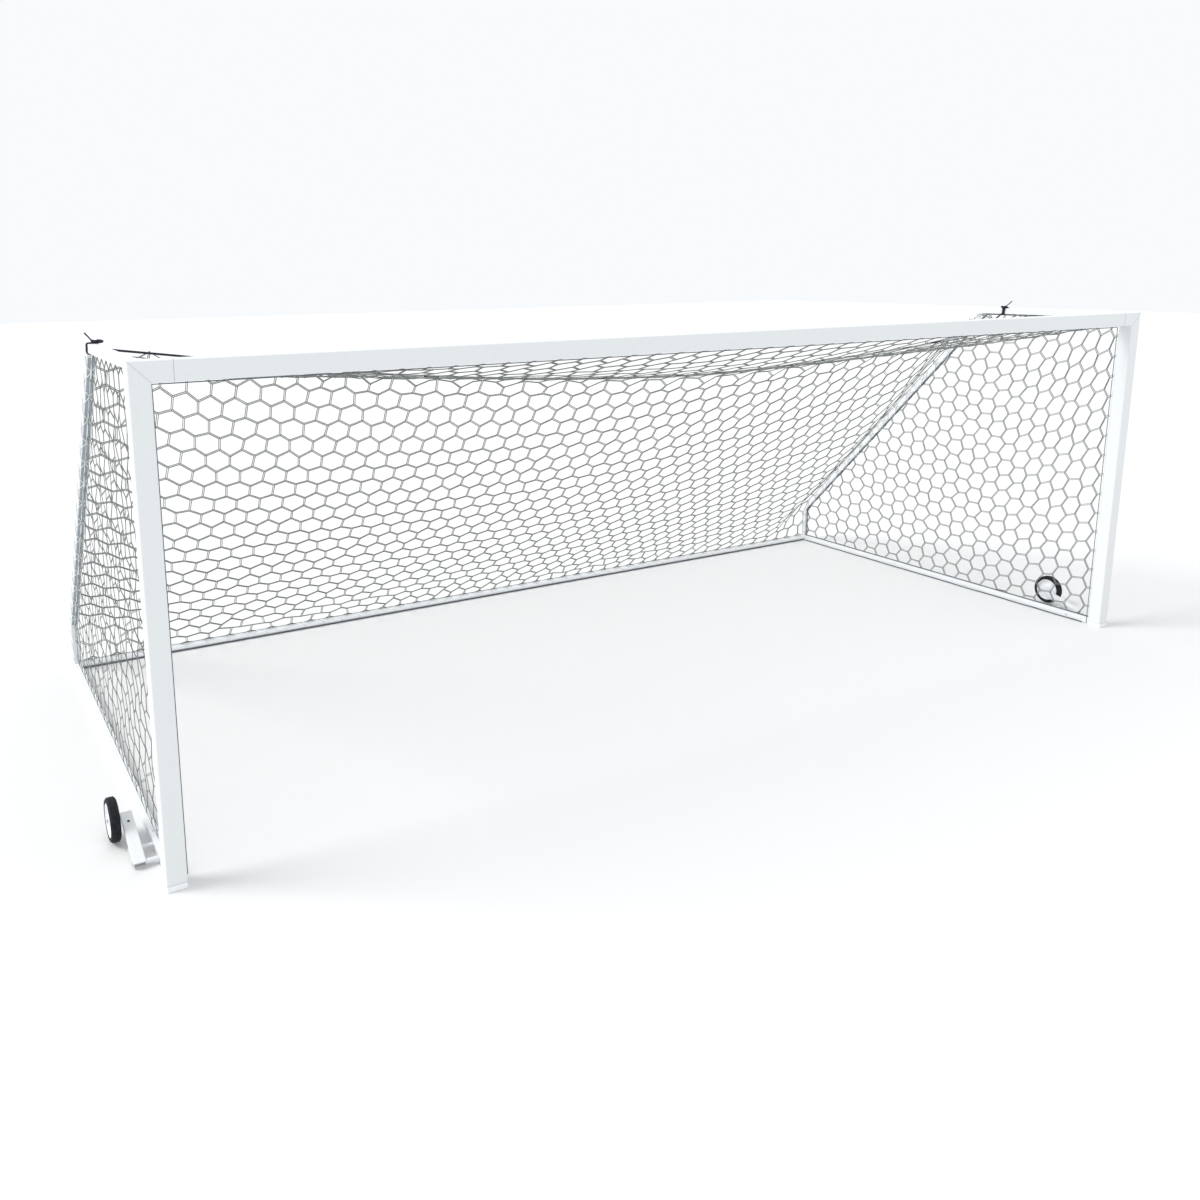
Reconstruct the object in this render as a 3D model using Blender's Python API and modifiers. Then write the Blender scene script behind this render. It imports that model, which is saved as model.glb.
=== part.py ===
"""Full-size portable goal: square aluminium mouth, tube side frames, net, and two swing-arm wheels.

Metres, +Z up. X runs along the goal line, the mouth faces -Y, and the net is behind it. The origin is on
the ground, in the middle of the goal's width and depth. Left is -X, as seen from in front of the goal.
"""

import math

import bmesh
import bpy
from mathutils import Matrix, Vector

# Mouth
MOUTH_WIDTH = 7.3152
MOUTH_HEIGHT = 2.4384
POST = 0.1016
POST_WALL = 0.0032
POST_CORNER = 0.009
STUB_LENGTH = 0.20
SPLICE_LENGTH = 0.19
FOOT_HEIGHT = 0.033
FOOT_PLUG = 0.060

# Side frames, measured back from the front face of the posts
TUBE = 0.0508
TUBE_WALL = 0.0032
TUBE_CORNER = 0.005
TOP_DEPTH = 1.33
BASE_DEPTH = 3.33
KNEE_HEIGHT = 0.35
REAR_PIPE = 0.0483
PIPE_WALL = 0.0026
TOP_SPIGOT = 0.15
GROUND_SPIGOT = 0.56
REAR_SPIGOT = 0.15
GROUND_BOLT_DEPTH = 0.533
ANCHOR_DEPTHS = (0.936, 1.361)
ANCHOR_RADIUS = 0.006

# Wheel arms
PIVOT_DEPTH = 0.30
AXLE_REACH = 0.313
WHEEL_RADIUS = 0.1165
WHEEL_LIFT = 0.011
ARM_INNER = 3.798
ARM_WIDTH = 0.060
ARM_HEIGHT = 0.0381
ARM_WALL = 0.003
ARM_OVERRUN = 0.016
REST_REACH = 0.127
REST_RADIUS = 0.011
WHEEL_CENTRE = 3.897
TYRE_WIDTH = 0.052
RIM_RADIUS = 0.089
HUB_RADIUS = 0.026
HUB_LENGTH = 0.046
AXLE_RADIUS = 0.008
BUSHING_RADIUS = 0.012

# Net and rope
NET_THICKNESS = 0.0008
NET_HEM = 0.060
NET_CLEARANCE = 0.002
ROPE_RADIUS = 0.0065
TIE_RADIUS = 0.004
LEFT_TIE_DEPTH = 1.27
RIGHT_TIE_DEPTH = 1.12

# The support rope's route, left to right: across, back from the front face, up
ROPE_ROUTE = (
    (-3.672, 1.270, 2.512),
    (-3.600, 1.278, 2.500),
    (-3.240, 1.300, 2.449),
    (-2.700, 1.320, 2.368),
    (-1.990, 1.330, 2.275),
    (-1.300, 1.335, 2.212),
    (-0.650, 1.340, 2.168),
    (0.000, 1.340, 2.140),
    (0.600, 1.340, 2.128),
    (1.200, 1.340, 2.142),
    (1.800, 1.335, 2.172),
    (2.400, 1.325, 2.208),
    (2.900, 1.300, 2.250),
    (3.300, 1.240, 2.312),
    (3.550, 1.170, 2.405),
    (3.664, 1.123, 2.494),
)
ROPE_STEPS = 5

# Fits
GAP = 0.0003
BOLT_RADIUS = 0.005
HEAD_RADIUS = 0.009
HEAD_HEIGHT = 0.004
CORNER_STEPS = 3
ROUND_STEPS = 16
WHEEL_STEPS = 36

# Places that follow from the sizes above
FRONT = -BASE_DEPTH / 2
POST_X = (MOUTH_WIDTH + POST) / 2
HEIGHT = MOUTH_HEIGHT + POST
BACK_OF_POST = FRONT + POST
TUBE_TOP = HEIGHT - TUBE / 2
TUBE_OUTER = POST_X + TUBE / 2
TUBE_INNER = POST_X - TUBE / 2
REAR_Y = FRONT + BASE_DEPTH - TUBE / 2
SEAM_X = POST_X + POST / 2 - STUB_LENGTH
PIVOT = Vector((0, FRONT + PIVOT_DEPTH, TUBE / 2))
AXLE = Vector((0, FRONT + PIVOT_DEPTH + AXLE_REACH, WHEEL_RADIUS + WHEEL_LIFT))
ARM_ANGLE = math.atan2(AXLE.z - PIVOT.z, AXLE.y - PIVOT.y)
ARM_MIDDLE = ARM_INNER + ARM_WIDTH / 2
SIDES = (("left", -1), ("right", 1))

X = Vector((1, 0, 0))
Y = Vector((0, 1, 0))
Z = Vector((0, 0, 1))


def clear_scene():
    for old in list(bpy.data.objects):
        bpy.data.objects.remove(old, do_unlink=True)


def collection(name):
    group = bpy.data.collections.new(name)
    bpy.context.scene.collection.children.link(group)
    return group


def material(name, colour, roughness, metallic=0.0):
    made = bpy.data.materials.new(name)
    made.use_nodes = True
    shader = made.node_tree.nodes["Principled BSDF"]
    shader.inputs["Base Color"].default_value = (*colour, 1)
    shader.inputs["Roughness"].default_value = roughness
    shader.inputs["Metallic"].default_value = metallic
    made.diffuse_color = (*colour, 1)
    return made


clear_scene()
GOAL = collection("soccer_goal")
CUTTERS = collection("cutters")
COAT = material("white_powder_coat", (0.86, 0.87, 0.88), 0.35)
PLASTIC = material("white_plastic", (0.80, 0.82, 0.84), 0.5)
ZINC = material("zinc_plate", (0.55, 0.56, 0.58), 0.4, 1.0)
TYRE = material("black_tyre", (0.02, 0.02, 0.025), 0.85)
NET = material("white_net", (0.75, 0.76, 0.75), 0.9)
ROPE = material("black_rope", (0.03, 0.03, 0.05), 0.9)


# ---- shapes -------------------------------------------------------------------------------------


def rounded_square(width, height, corner):
    """The outline of a square tube, anticlockwise, with round corners."""
    points = []
    for quarter in range(4):
        angle = quarter * math.pi / 2
        turn = Matrix.Rotation(angle, 2)
        half = Vector((width, height)) / 2 if quarter % 2 == 0 else Vector((height, width)) / 2
        centre = half - Vector((corner, corner))
        for step in range(CORNER_STEPS + 1):
            bend = step / CORNER_STEPS * math.pi / 2
            points.append(turn @ (centre + corner * Vector((math.cos(bend), math.sin(bend)))))
    return points


def circle(radius, steps=ROUND_STEPS):
    angles = [2 * math.pi * step / steps for step in range(steps)]
    return [Vector((radius * math.cos(a), radius * math.sin(a))) for a in angles]


def keep(name, mesh, finish, matrix=None):
    """An object of the goal, made from a mesh."""
    made = bpy.data.objects.new(name, mesh)
    GOAL.objects.link(made)
    mesh.materials.clear()
    mesh.materials.append(finish)
    if matrix:
        made.matrix_world = matrix
    return made


def facing(mesh):
    """Welds the loose caps of a mesh and turns its faces outwards."""
    work = bmesh.new()
    work.from_mesh(mesh)
    bmesh.ops.remove_doubles(work, verts=work.verts, dist=0.00001)
    bmesh.ops.recalc_face_normals(work, faces=work.faces)
    work.to_mesh(mesh)
    work.free()


def curve_mesh(curve):
    """The mesh of a curve, with its caps welded on."""
    guide = bpy.data.objects.new("guide", curve)
    bpy.context.scene.collection.objects.link(guide)
    bpy.context.view_layer.update()
    solid = guide.evaluated_get(bpy.context.evaluated_depsgraph_get())
    mesh = bpy.data.meshes.new_from_object(solid)
    bpy.data.objects.remove(guide, do_unlink=True)
    facing(mesh)
    return mesh


def extruded(loops, length):
    """A flat outline, with its holes, extruded along local Z about the origin."""
    curve = bpy.data.curves.new("outline", "CURVE")
    curve.dimensions = "2D"
    curve.fill_mode = "BOTH"
    curve.extrude = length / 2
    for loop in loops:
        spline = curve.splines.new("POLY")
        spline.points.add(len(loop) - 1)
        for point, place in zip(spline.points, loop):
            point.co = (*place, 0, 1)
        spline.use_cyclic_u = True
    return curve_mesh(curve)


def pose(along, across, middle):
    """The matrix that lays local Z along one direction and local X across it."""
    along = along.normalized()
    across = across.normalized()
    turn = Matrix((across, along.cross(across), along)).transposed()
    return Matrix.Translation(middle) @ turn.to_4x4()


def tube(name, loops, start, end, across, finish, slopes=(0, 0)):
    """A tube between two points, its ends cut square or sloped along local X as mitres."""
    along = end - start
    mesh = extruded(loops, along.length)
    for vertex in mesh.vertices:
        slope = slopes[0] if vertex.co.z < 0 else slopes[1]
        vertex.co.z += slope * vertex.co.x
    return keep(name, mesh, finish, pose(along, across, (start + end) / 2))


def square_loops(size, wall, corner, height=None):
    tall = height or size
    inner = max(corner - wall, 0.001)
    return [
        rounded_square(size, tall, corner),
        rounded_square(size - 2 * wall, tall - 2 * wall, inner),
    ]


def mitre(along, across, other):
    """The slope of a tube's end, on the plane that halves its bend towards the next tube."""
    return -across.dot(other) / (1 + along.dot(other))


def tube_run(names, points, normal, loops):
    """Tubes along a bent path, mitred where they meet, with a thin gap at each joint."""
    ways = [(b - a).normalized() for a, b in zip(points, points[1:])]
    last = len(names) - 1
    for index, name in enumerate(names):
        way = ways[index]
        across = normal.cross(way)
        start = points[index]
        end = points[index + 1]
        slopes = [0, 0]
        if index > 0:
            slopes[0] = mitre(way, across, ways[index - 1])
            start = start + way * GAP / 2 * math.hypot(1, slopes[0])
        if index < last:
            slopes[1] = mitre(way, across, ways[index + 1])
            end = end - way * GAP / 2 * math.hypot(1, slopes[1])
        tube(name, loops, start, end, across, COAT, slopes)


def turned(name, profile, finish, axis, place, steps=ROUND_STEPS, closed=False):
    """A profile of (radius, height) points turned about local Z, which is laid along an axis."""
    mesh = bpy.data.meshes.new(name)
    edges = [(i, i + 1) for i in range(len(profile) - 1)]
    if closed:
        edges.append((len(profile) - 1, 0))
    mesh.from_pydata([(r, 0, h) for r, h in profile], edges, [])
    across = Z if abs(axis.x) > 0.5 else X
    made = keep(name, mesh, finish, pose(axis, across, place))
    screw = made.modifiers.new("turn", "SCREW")
    screw.steps = steps
    screw.render_steps = steps
    screw.use_merge_vertices = True
    screw.merge_threshold = 0.00001
    return made


def dome_bolt(name, seat, axis, length, radius=BOLT_RADIUS, head=HEAD_RADIUS):
    """A round-headed bolt: the head stands off its seat along the axis, and the shank goes into it."""
    dome = [
        (head * math.sin(a), GAP + 0.001 + HEAD_HEIGHT * math.cos(a))
        for a in (step / 4 * math.pi / 2 for step in range(5))
    ]
    dome[0] = (0, dome[0][1])
    shank = [(head, GAP), (radius, GAP), (radius, -length), (0, -length)]
    return turned(name, dome + shank, ZINC, axis, seat)


def drill(names, middle, axis, radius, length):
    """Bores one straight hole through each named part."""
    across = Z if abs(axis.x) > 0.5 else X
    mesh = extruded([circle(radius)], length)
    cutter = bpy.data.objects.new("drill", mesh)
    CUTTERS.objects.link(cutter)
    cutter.matrix_world = pose(axis, across, middle)
    hide_cutter(cutter)
    cut(names, cutter)


def hide_cutter(cutter):
    cutter.hide_render = True
    cutter.display_type = "WIRE"


def cut(names, cutter):
    for name in names:
        boolean = bpy.data.objects[name].modifiers.new("cut", "BOOLEAN")
        boolean.operation = "DIFFERENCE"
        boolean.solver = "EXACT"
        boolean.object = cutter


# ---- mouth --------------------------------------------------------------------------------------


def mouth():
    """Uprights, crossbar and the short stubs between them."""
    middle = FRONT + POST / 2
    top = HEIGHT - POST / 2
    bottom = FOOT_HEIGHT + GAP
    points = [
        Vector((-POST_X, middle, bottom)),
        Vector((-POST_X, middle, top)),
        Vector((-SEAM_X, middle, top)),
        Vector((SEAM_X, middle, top)),
        Vector((POST_X, middle, top)),
        Vector((POST_X, middle, bottom)),
    ]
    names = [
        "left_upright",
        "left_crossbar_stub",
        "crossbar",
        "right_crossbar_stub",
        "right_upright",
    ]
    tube_run(names, points, Y, square_loops(POST, POST_WALL, POST_CORNER))


def splice(label, side):
    """The insert that joins a stub to the crossbar, and its two bolts, on the rear face."""
    size = POST - 2 * POST_WALL - 2 * GAP
    top = HEIGHT - POST / 2
    middle = Vector((side * SEAM_X, FRONT + POST / 2, top))
    half = X * SPLICE_LENGTH / 2
    insert = f"{label}_crossbar_splice"
    tube(insert, square_loops(size, 0.004, 0.0065), middle - half, middle + half, Z, ZINC)
    for place, part in ((1, f"{label}_crossbar_stub"), (-1, "crossbar")):
        x = side * (SEAM_X + place * SPLICE_LENGTH / 4)
        seat = Vector((x, BACK_OF_POST, top))
        end = "outer" if place == 1 else "inner"
        dome_bolt(f"{label}_splice_bolt_{end}", seat, Y, 0.012)
        drill([part, insert], seat, Y, BOLT_RADIUS + GAP, 0.03)


def foot(label, side):
    """The plastic cap under an upright, with the plug that holds it inside the tube."""
    inside = POST - 2 * POST_WALL - 2 * GAP
    work = bmesh.new()
    ring = rounded_square(POST, POST, POST_CORNER)
    base = work.faces.new([work.verts.new((*point, 0)) for point in ring])
    raised = bmesh.ops.extrude_face_region(work, geom=[base])["geom"]
    cap = lift(work, raised, FOOT_HEIGHT)
    bmesh.ops.inset_region(work, faces=[cap], thickness=(POST - inside) / 2, use_even_offset=True)
    raised = bmesh.ops.extrude_face_region(work, geom=[cap])["geom"]
    bmesh.ops.delete(work, geom=[cap], context="FACES_ONLY")
    lift(work, raised, FOOT_PLUG)
    bmesh.ops.recalc_face_normals(work, faces=work.faces)
    mesh = bpy.data.meshes.new("foot")
    work.to_mesh(mesh)
    work.free()
    place = Matrix.Translation((side * POST_X, FRONT + POST / 2, 0))
    keep(f"{label}_post_foot", mesh, PLASTIC, place)


def lift(work, geometry, height):
    """Moves extruded vertices up and returns the face they carry."""
    points = [item for item in geometry if isinstance(item, bmesh.types.BMVert)]
    bmesh.ops.translate(work, verts=points, vec=(0, 0, height))
    return next(item for item in geometry if isinstance(item, bmesh.types.BMFace))


# ---- side frames --------------------------------------------------------------------------------


def side_frame(label, side):
    """Top depth bar, backstay, rear riser and side ground bar, mitred to each other."""
    x = side * POST_X
    points = [
        Vector((x, BACK_OF_POST + GAP, TUBE_TOP)),
        Vector((x, FRONT + TOP_DEPTH - TUBE / 2, TUBE_TOP)),
        Vector((x, REAR_Y, KNEE_HEIGHT)),
        Vector((x, REAR_Y, TUBE / 2)),
        Vector((x, BACK_OF_POST + GAP, TUBE / 2)),
    ]
    names = [
        f"{label}_top_depth_bar",
        f"{label}_backstay",
        f"{label}_rear_riser",
        f"{label}_side_ground_bar",
    ]
    tube_run(names, points, X, square_loops(TUBE, TUBE_WALL, TUBE_CORNER))
    for depth in ANCHOR_DEPTHS:
        hole = Vector((x, FRONT + depth, TUBE / 2))
        drill([f"{label}_side_ground_bar"], hole, Z, ANCHOR_RADIUS, 2 * TUBE)


def spigots(label, side):
    """The inserts that carry the depth bar and the ground bar on the upright, with their bolts."""
    x = side * POST_X
    loops = square_loops(TUBE - 2 * TUBE_WALL - 2 * GAP, 0.003, 0.003)
    for part, height, reach in (
        ("top", TUBE_TOP, TOP_SPIGOT),
        ("ground", TUBE / 2, GROUND_SPIGOT),
    ):
        start = Vector((x, BACK_OF_POST + GAP, height))
        end = Vector((x, FRONT + reach + (POST if part == "top" else 0), height))
        tube(f"{label}_{part}_spigot", loops, start, end, Z, ZINC)
    inward = X * -side
    seat = Vector((side * TUBE_INNER, BACK_OF_POST + TOP_SPIGOT / 2, TUBE_TOP))
    dome_bolt(f"{label}_top_bolt", seat, inward, TUBE - 0.001)
    drill(
        [f"{label}_top_depth_bar", f"{label}_top_spigot"],
        seat,
        X,
        BOLT_RADIUS + GAP,
        3 * TUBE,
    )
    seat = Vector((x, FRONT + GROUND_BOLT_DEPTH, TUBE))
    dome_bolt(f"{label}_ground_bolt", seat, Z, TUBE - 0.001)
    drill(
        [f"{label}_side_ground_bar", f"{label}_ground_spigot"],
        seat,
        Z,
        BOLT_RADIUS + GAP,
        3 * TUBE,
    )


def rear_bar():
    """The round bar between the rear corners, on a spigot at each end."""
    loops = [circle(REAR_PIPE / 2, 32), circle(REAR_PIPE / 2 - PIPE_WALL)]
    end = Vector((TUBE_INNER - GAP, REAR_Y, TUBE / 2))
    start = Vector((-end.x, end.y, end.z))
    tube("rear_ground_bar", loops, start, end, Z, COAT)
    outer = REAR_PIPE / 2 - PIPE_WALL - 2 * GAP
    inner_loops = [circle(outer), circle(outer - 0.003)]
    for label, side in SIDES:
        edge = Vector((side * (TUBE_INNER - GAP), REAR_Y, TUBE / 2))
        spigot = f"{label}_rear_spigot"
        tube(spigot, inner_loops, edge, edge - X * side * REAR_SPIGOT, Z, ZINC)
        seat = edge - X * side * REAR_SPIGOT / 2 + Z * REAR_PIPE / 2
        dome_bolt(f"{label}_rear_bolt", seat, Z, REAR_PIPE - 0.002)
        drill(["rear_ground_bar", spigot], seat, Z, BOLT_RADIUS + GAP, 3 * REAR_PIPE)


# ---- wheels -------------------------------------------------------------------------------------


def arm_point(reach, side, x, rise=0.0):
    """A point on a wheel arm: so far from the pivot along the arm, and so far above its axis."""
    along = Vector((0, math.cos(ARM_ANGLE), math.sin(ARM_ANGLE)))
    up = Vector((0, -math.sin(ARM_ANGLE), math.cos(ARM_ANGLE)))
    return PIVOT + along * reach + up * rise + X * side * x


def wheel_arm(label, side):
    """The swing arm, its pivot on the ground bar, the bar it rests on, and its axle."""
    length = (AXLE - PIVOT).length
    start = arm_point(-ARM_OVERRUN, side, ARM_MIDDLE)
    end = arm_point(length + ARM_OVERRUN, side, ARM_MIDDLE)
    arm = f"{label}_wheel_arm"
    loops = square_loops(ARM_WIDTH, ARM_WALL, 0.004, ARM_HEIGHT)
    tube(arm, loops, start, end, X, COAT)

    sleeve_bore = AXLE_RADIUS + GAP
    sleeve = [circle(0.013), circle(sleeve_bore)]
    inner = PIVOT + X * side * (TUBE_OUTER + GAP)
    outer = PIVOT + X * side * (ARM_INNER - GAP)
    tube(f"{label}_pivot_sleeve", sleeve, inner, outer, Z, COAT)

    seat = PIVOT + X * side * (ARM_INNER + ARM_WIDTH)
    reach = ARM_INNER + ARM_WIDTH - TUBE_INNER
    dome_bolt(f"{label}_pivot_bolt", seat, X * side, reach, AXLE_RADIUS, 0.013)
    crossed = [arm, f"{label}_side_ground_bar", f"{label}_ground_spigot"]
    drill(crossed, seat, X, AXLE_RADIUS + GAP, 4 * reach)

    below = -(ARM_HEIGHT / 2 + GAP + REST_RADIUS)
    inner = arm_point(REST_REACH, side, TUBE_OUTER + GAP, below)
    outer = arm_point(REST_REACH, side, ARM_INNER + ARM_WIDTH, below)
    tube(f"{label}_arm_rest_bar", [circle(REST_RADIUS)], inner, outer, Z, COAT)

    seat = AXLE + X * side * (WHEEL_CENTRE + HUB_LENGTH / 2 + 0.002)
    reach = WHEEL_CENTRE + HUB_LENGTH / 2 + 0.002 - ARM_INNER
    dome_bolt(f"{label}_axle_bolt", seat, X * side, reach, AXLE_RADIUS, 0.013)
    drill([arm], seat, X, AXLE_RADIUS + GAP, 4 * reach)

    drain = arm_point(length - 0.055, side, ARM_MIDDLE, ARM_HEIGHT / 2)
    drill([arm], drain, Z, 0.005, ARM_HEIGHT)


def wheel(label, side):
    """Tyre, rim and bushing, centred on the axle."""
    centre = AXLE + X * side * WHEEL_CENTRE
    half = TYRE_WIDTH / 2
    axis = X * side
    seat = 0.006
    crown = 0.012
    tread = [(WHEEL_RADIUS, 0.0), (WHEEL_RADIUS - 0.001, -half * 0.55)]
    shoulder = [(WHEEL_RADIUS - crown / 2, -half * 0.88), (WHEEL_RADIUS - crown, -half)]
    wall = [(RIM_RADIUS + 0.008, -half * 0.96), (RIM_RADIUS + GAP, -half * 0.8)]
    lower = tread + shoulder + wall
    upper = [(r, -h) for r, h in reversed(lower[1:])]
    turned(f"{label}_tyre", lower + upper, TYRE, axis, centre, WHEEL_STEPS, closed=True)

    bed = half * 0.78
    web = 0.004
    bore = BUSHING_RADIUS + GAP
    hub = HUB_LENGTH / 2
    outer = [(RIM_RADIUS, bed), (RIM_RADIUS, -bed), (RIM_RADIUS - seat, -bed)]
    inner = [(RIM_RADIUS - seat, -web), (HUB_RADIUS, -web), (HUB_RADIUS, -hub), (bore, -hub)]
    face = [(bore, hub), (HUB_RADIUS, hub), (HUB_RADIUS, web), (RIM_RADIUS - seat, web)]
    lip = [(RIM_RADIUS - seat, bed)]
    turned(f"{label}_wheel_rim", outer + inner + face + lip, PLASTIC, axis, centre, WHEEL_STEPS, True)

    inside = AXLE_RADIUS + 0.0002
    sleeve = [(BUSHING_RADIUS, hub), (BUSHING_RADIUS, -hub), (inside, -hub), (inside, hub)]
    turned(f"{label}_wheel_bushing", sleeve, ZINC, axis, centre, closed=True)


# ---- net and rope -------------------------------------------------------------------------------


def smooth(route, steps):
    """Points on a smooth curve through a route, with so many steps between its points."""
    places = [Vector((x, FRONT + depth, z)) for x, depth, z in route]
    ends = [2 * places[0] - places[1], *places, 2 * places[-1] - places[-2]]
    points = []
    for before, start, end, after in zip(ends, ends[1:], ends[2:], ends[3:]):
        for step in range(steps):
            t = step / steps
            curve = 2 * start + (end - before) * t
            curve += (2 * before - 5 * start + 4 * end - after) * t * t
            curve += (3 * start - before - 3 * end + after) * t**3
            points.append(curve / 2)
    return points + [places[-1]]


def cord(name, points, radius, closed=False):
    curve = bpy.data.curves.new(name, "CURVE")
    curve.dimensions = "3D"
    curve.bevel_depth = radius
    curve.bevel_resolution = 2
    curve.use_fill_caps = True
    spline = curve.splines.new("POLY")
    spline.points.add(len(points) - 1)
    for point, place in zip(spline.points, points):
        point.co = (*place, 1)
    spline.use_cyclic_u = closed
    return keep(name, curve_mesh(curve), ROPE)


def rope_at(x, points):
    """The rope's centre over one place along the goal line."""
    for start, end in zip(points, points[1:]):
        if x <= end.x:
            return start.lerp(end, max(0.0, (x - start.x) / (end.x - start.x)))
    return points[-1].copy()


def net_sheet(name, front_edge, rear_edge):
    """A thin skin between two edges, each a function of the place along the goal line."""
    columns = 28
    rows = 2
    work = bmesh.new()
    bmesh.ops.create_grid(work, x_segments=columns, y_segments=rows, size=1)
    half = TUBE_INNER - 0.001
    for vertex in work.verts:
        x = vertex.co.x * half
        along = (vertex.co.y + 1) / 2
        vertex.co = front_edge(x).lerp(rear_edge(x), along)
    mesh = bpy.data.meshes.new(name)
    work.to_mesh(mesh)
    work.free()
    made = keep(name, mesh, NET)
    skin = made.modifiers.new("skin", "SOLIDIFY")
    skin.thickness = NET_THICKNESS
    skin.offset = 0
    return made


def nets(rope):
    """Roof and back panels, which meet at the rope, and the side panels."""
    clear = ROPE_RADIUS + 0.004
    hang = TUBE_TOP - 0.012

    def crossbar_edge(x):
        return Vector((x, BACK_OF_POST + 0.002, hang))

    def roof_edge(x):
        return rope_at(x, rope) - Y * clear

    def back_edge(x):
        return rope_at(x, rope) + Y * clear

    def ground_edge(x):
        return Vector((x, REAR_Y - 0.010, TUBE / 2 + REAR_PIPE / 2 + 0.002))

    net_sheet("roof_net", crossbar_edge, roof_edge)
    net_sheet("back_net", back_edge, ground_edge)
    for label, side in SIDES:
        side_net(label, side)


def side_net(label, side):
    """The flat side panel, inside the window between the upright and the side frame's tubes."""
    clear = TUBE / 2 + NET_CLEARANCE
    high = Vector((FRONT + TOP_DEPTH - TUBE / 2, TUBE_TOP))
    low = Vector((REAR_Y, KNEE_HEIGHT))
    along = (low - high).normalized()
    under = high + Vector((along.y, -along.x)) * clear
    front = BACK_OF_POST + NET_CLEARANCE
    rear = REAR_Y - clear
    top = HEIGHT - TUBE - 3 * TIE_RADIUS
    outline = [
        Vector((front, NET_HEM)),
        Vector((rear, NET_HEM)),
        under + along * (rear - under.x) / along.x,
        under + along * (top - under.y) / along.y,
        Vector((front, top)),
    ]
    mesh = extruded([outline], NET_THICKNESS)
    keep(f"{label}_side_net", mesh, NET, pose(X, Y, X * side * POST_X))


def tie(name, side, depth):
    """A loop of cord round a top depth bar, which holds the end of the rope."""
    reach = TUBE / 2 + TIE_RADIUS + GAP
    corner = 0.007
    ring = rounded_square(2 * reach, 2 * reach, corner)
    middle = Vector((side * POST_X, FRONT + depth, TUBE_TOP))
    points = [middle + X * point.x + Z * point.y for point in ring]
    return cord(name, points, TIE_RADIUS, closed=True)


# ---- assembly -----------------------------------------------------------------------------------


def smooth_round_pieces():
    """Shades the round pieces smooth and keeps their edges crisp."""
    for made in GOAL.objects:
        made.data.shade_smooth()
        made.data.set_sharp_from_angle(angle=math.radians(30))


def build():
    mouth()
    for label, side in SIDES:
        splice(label, side)
        foot(label, side)
        side_frame(label, side)
        spigots(label, side)
        wheel_arm(label, side)
        wheel(label, side)
    rear_bar()
    rope = smooth(ROPE_ROUTE, ROPE_STEPS)
    cord("support_rope", rope, ROPE_RADIUS)
    tie("left_rope_tie", -1, LEFT_TIE_DEPTH)
    tie("right_rope_tie", 1, RIGHT_TIE_DEPTH)
    nets(rope)
    smooth_round_pieces()


build()
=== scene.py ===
"""The look of a full-size portable goal: powder-coated tube, hexagonal netting, rope and wheels."""

import math

import bpy
import numpy as np
from mathutils import Matrix, Vector


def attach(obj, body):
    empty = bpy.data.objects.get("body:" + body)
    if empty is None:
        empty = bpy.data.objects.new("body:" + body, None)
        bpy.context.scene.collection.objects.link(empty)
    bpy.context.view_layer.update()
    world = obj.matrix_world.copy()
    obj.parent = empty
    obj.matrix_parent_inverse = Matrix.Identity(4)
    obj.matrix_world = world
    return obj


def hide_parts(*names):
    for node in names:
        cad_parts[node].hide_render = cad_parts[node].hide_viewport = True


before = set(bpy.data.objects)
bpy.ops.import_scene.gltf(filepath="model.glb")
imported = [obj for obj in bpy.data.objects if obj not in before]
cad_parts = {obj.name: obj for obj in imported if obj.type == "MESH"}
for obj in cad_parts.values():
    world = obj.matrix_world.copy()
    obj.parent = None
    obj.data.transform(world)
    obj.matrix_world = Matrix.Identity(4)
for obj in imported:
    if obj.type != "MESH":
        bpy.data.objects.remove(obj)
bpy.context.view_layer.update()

# The goal's own sizes, in metres, as the solids have them
FRONT = -1.665
REAR_Y = 1.6396
POST = 0.1016
POST_X = 3.7084
TUBE = 0.0508
HEIGHT = 2.54
TUBE_TOP = HEIGHT - TUBE / 2
TUBE_INNER = POST_X - TUBE / 2
TOP_DEPTH = 1.33
KNEE = 0.35
SEAM_X = POST_X + POST / 2 - 0.20
WHEEL_X = 3.897
AXLE_Y = FRONT + 0.613
AXLE_Z = 0.1275
PIPE = 0.0483
WHEEL_RADIUS = 0.1165
ARM_X = 3.828
RIM_RADIUS = 0.089

# Netting
CELL = 0.16
COLUMNS = 46
ROOF_ROWS = 8
BACK_ROWS = 22
SIDE_CELL = 0.136
SIDE_ROW = 0.134
TWINE = 0.0029
PAIR = 0.0050
NEAR_TWINE = 0.0018
NEAR_PAIR = 0.0038
EDGE_CORD = 0.0040
MOUTH_CORD = 0.0030
REAR_FOOT_SHADOW = 0.0050
SIDE_FOOT_SHADOW = 0.0042
LACING = 0.0030
NET_PITCH = 0.158
SIDE_COLUMNS = 30
SIDE_ROWS = 28

# The support rope's route, left to right: across, back from the front face, up
ROPE_ROUTE = (
    (-3.672, 1.270, 2.512),
    (-3.600, 1.278, 2.500),
    (-3.240, 1.300, 2.449),
    (-2.700, 1.320, 2.368),
    (-1.990, 1.330, 2.275),
    (-1.300, 1.335, 2.212),
    (-0.650, 1.340, 2.168),
    (0.000, 1.340, 2.140),
    (0.600, 1.340, 2.128),
    (1.200, 1.340, 2.142),
    (1.800, 1.335, 2.172),
    (2.400, 1.325, 2.208),
    (2.900, 1.300, 2.250),
    (3.300, 1.240, 2.312),
    (3.550, 1.170, 2.405),
    (3.664, 1.123, 2.494),
)
ROPE_RADIUS = 0.0065
LEFT_TIE = 1.27
RIGHT_TIE = 1.12

SIDES = (("left", -1), ("right", 1))
X = Vector((1, 0, 0))


# ---- camera and light ---------------------------------------------------------------------------


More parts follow.
